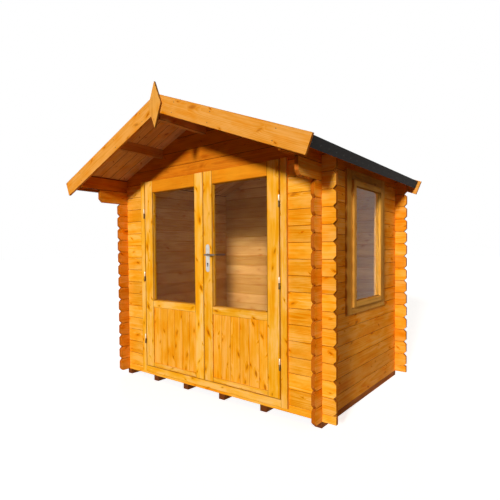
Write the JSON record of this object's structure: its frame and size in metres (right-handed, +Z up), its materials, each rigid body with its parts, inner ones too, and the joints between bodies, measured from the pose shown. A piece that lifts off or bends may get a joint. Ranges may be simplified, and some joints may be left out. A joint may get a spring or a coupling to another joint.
{
  "type": "log cabin summerhouse",
  "caption": "Small garden log cabin with interlocking notched corners, a felted apex roof with a front canopy, glazed double doors and a side window.",
  "frame": {"origin": "on the ground under the middle of the whole outline, on the underside of the bearers", "axes": "+X to the right along the front, -Y out of the front where the doors open, +Z up"},
  "size_m": [2.5042, 2.112, 2.399],
  "materials": {
    "log_wood": "honey stain, satin",
    "roof_wood": "planed, unstained",
    "joinery_wood": "pale honey stain, satin",
    "bearer_wood": "red brown preservative, matt",
    "roofing_felt": "mineral grit, matt",
    "pane_glass": "clear",
    "satin_steel": "satin"
  },
  "bodies": {
    "cabin": {"front_bottom_log": "log_wood", "front_left_logs": "log_wood", "front_right_logs": "log_wood", "front_gable_logs": "log_wood", "back_logs": "log_wood", "back_gable_logs": "log_wood", "left_logs": "log_wood", "left_roof_log": "log_wood", "right_logs_below_window": "log_wood", "right_logs_before_window": "log_wood", "right_logs_behind_window": "log_wood", "right_roof_log": "log_wood", "front_bargeboards": "log_wood", "rear_bargeboards": "log_wood", "finial": "log_wood", "eave_boards": "log_wood", "floor": "roof_wood", "ridge_purlin": "roof_wood", "left_purlin": "roof_wood", "right_purlin": "roof_wood", "left_roof_deck": "roof_wood", "right_roof_deck": "roof_wood", "door_jambs": "joinery_wood", "door_threshold": "joinery_wood", "door_stops": "joinery_wood", "window_frame": "joinery_wood", "window_sash": "joinery_wood", "bearers": "bearer_wood", "left_felt": "roofing_felt", "right_felt": "roofing_felt", "ridge_felt": "roofing_felt", "window_glass": "pane_glass", "frame_hinges": "satin_steel"},
    "left_door": {"left_leaf_stiles": "joinery_wood", "left_leaf_rails": "joinery_wood", "left_leaf_panel": "joinery_wood", "left_leaf_glass": "pane_glass", "left_leaf_hinges": "satin_steel"},
    "right_door": {"right_leaf_stiles": "joinery_wood", "right_leaf_rails": "joinery_wood", "right_leaf_panel": "joinery_wood", "right_leaf_glass": "pane_glass", "right_leaf_hinges": "satin_steel", "lock_plates": "satin_steel"},
    "lever": {"lever_handle": "satin_steel"}
  },
  "joints": [
    {"name": "left_door_swing", "type": "hinge", "parent": "cabin", "child": "left_door", "pos_m": [-0.736, -0.5736, 0.959], "axis": [0, 0, -1], "range_deg": [0, 105]},
    {"name": "right_door_swing", "type": "hinge", "parent": "cabin", "child": "right_door", "pos_m": [0.736, -0.5736, 0.959], "axis": [0, 0, 1], "range_deg": [0, 105]},
    {"name": "lever_turn", "type": "hinge", "parent": "right_door", "child": "lever", "pos_m": [0.0505, -0.544, 1.158], "axis": [0, 1, 0], "range_deg": [0, 40], "stiffness_Nm_per_rad": 1, "springref_deg": -22.92}
  ]
}
